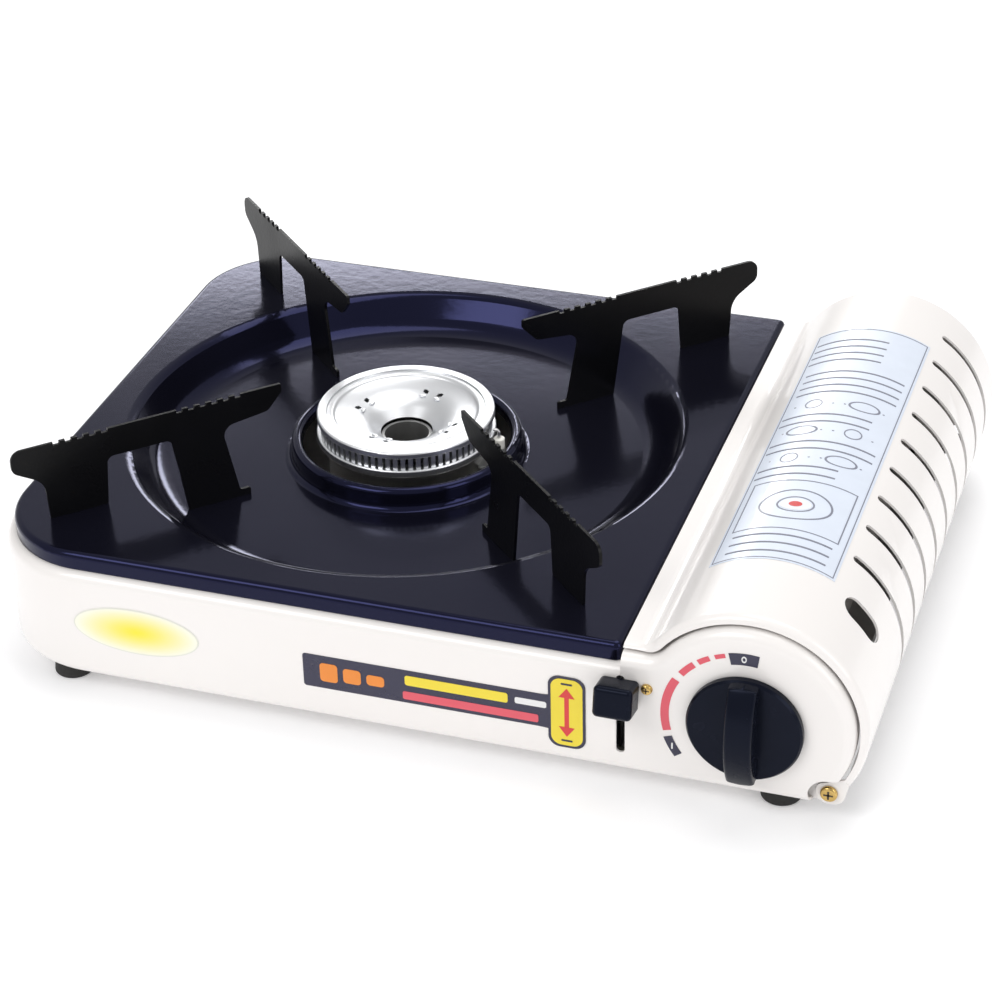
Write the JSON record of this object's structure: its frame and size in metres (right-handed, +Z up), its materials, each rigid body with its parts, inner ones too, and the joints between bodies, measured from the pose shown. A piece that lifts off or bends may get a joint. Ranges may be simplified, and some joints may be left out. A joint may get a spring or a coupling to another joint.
{
  "type": "butane cassette stove",
  "caption": "Single burner tabletop stove with a hinged lid over a side cartridge bay, a lift-off drip plate with pan supports, a control knob and a cartridge lever.",
  "frame": {"origin": "on the table, straight below the centre of the burner", "axes": "+Z up, +X along the front towards the cartridge bay, +Y from the front panel with the knob to the back"},
  "size_m": [0.3583, 0.2851, 0.0976],
  "materials": {
    "cream_enamel": "gloss enamel",
    "black_enamel": "gloss vitreous enamel",
    "plated_steel": "zinc plated",
    "die_cast": "as cast",
    "aluminium": "satin",
    "brass": "turned",
    "black_rubber": "matte",
    "black_plastic": "gloss",
    "white_ceramic": "glazed ceramic",
    "lead_sleeve": "silicone sleeve",
    "white_plastic": "moulded"
  },
  "bodies": {
    "body": {"body_shell": "cream_enamel", "heat_shield": "plated_steel", "cartridge_cradle": "plated_steel", "regulator_bulkhead": "plated_steel", "floor_screws": "plated_steel", "regulator_body": "die_cast", "regulator_cap": "die_cast", "cap_screws": "plated_steel", "regulator_screws": "plated_steel", "inlet_collar": "brass", "inlet_seal": "black_rubber", "igniter_body": "black_plastic", "ignition_lead": "lead_sleeve", "electrode_insulator": "white_ceramic", "electrode_rod": "plated_steel", "gas_pipe": "plated_steel", "gas_nozzle": "brass", "mixing_tube": "plated_steel", "burner_bowl": "plated_steel", "air_sleeve": "plated_steel", "flame_ring": "aluminium", "burner_dish": "aluminium", "burner_strap": "plated_steel", "burner_rivets": "plated_steel", "lever_bracket": "plated_steel", "lever_screw": "brass", "lever_pivot": "plated_steel", "carriage_rivets": "plated_steel", "hinge_screws": "brass", "foot_front_left": "black_rubber", "foot_front_right": "black_rubber", "foot_rear_left": "black_rubber", "foot_rear_right": "black_rubber"},
    "plate": {"top_plate": "black_enamel", "pan_support_front_left": "black_enamel", "pan_support_front_right": "black_enamel", "pan_support_rear_left": "black_enamel", "pan_support_rear_right": "black_enamel"},
    "lid": {"lid": "cream_enamel"},
    "knob": {"knob": "black_plastic", "valve_spindle": "plated_steel", "igniter_cam": "white_plastic"},
    "plunger": {"igniter_plunger": "white_plastic"},
    "lever": {"lever_arm": "plated_steel", "lever_button": "black_plastic", "lever_drive_pin": "plated_steel"},
    "carriage": {"cartridge_carriage": "plated_steel"}
  },
  "joints": [
    {"name": "lid_hinge", "type": "hinge", "parent": "body", "child": "lid", "pos_m": [0.2103, 0, 0.0136], "axis": [0, 1, 0], "range_deg": [0, 88]},
    {"name": "knob_turn", "type": "hinge", "parent": "body", "child": "knob", "pos_m": [0.179, -0.135, 0.04], "axis": [0, -1, 0], "range_deg": [0, 120]},
    {"name": "plunger_slide", "type": "slide", "parent": "body", "child": "plunger", "axis": [-1, 0, 0], "range_m": [0, 0.004]},
    {"name": "lever_press", "type": "hinge", "parent": "body", "child": "lever", "pos_m": [0.1314, -0.078, 0.034], "axis": [1, 0, 0], "range_deg": [0, 23]},
    {"name": "carriage_slide", "type": "slide", "parent": "body", "child": "carriage", "axis": [0, -1, 0], "range_m": [0, 0.0074]},
    {"name": "plate_lift", "type": "slide", "parent": "body", "child": "plate", "axis": [0, 0, 1], "range_m": [0, 0.06]}
  ],
  "couplings": [
    {"joint": "plunger_slide", "follows": "knob_turn", "m_per_rad": 0.001909},
    {"joint": "carriage_slide", "follows": "lever_press", "m_per_rad": 0.01837}
  ]
}
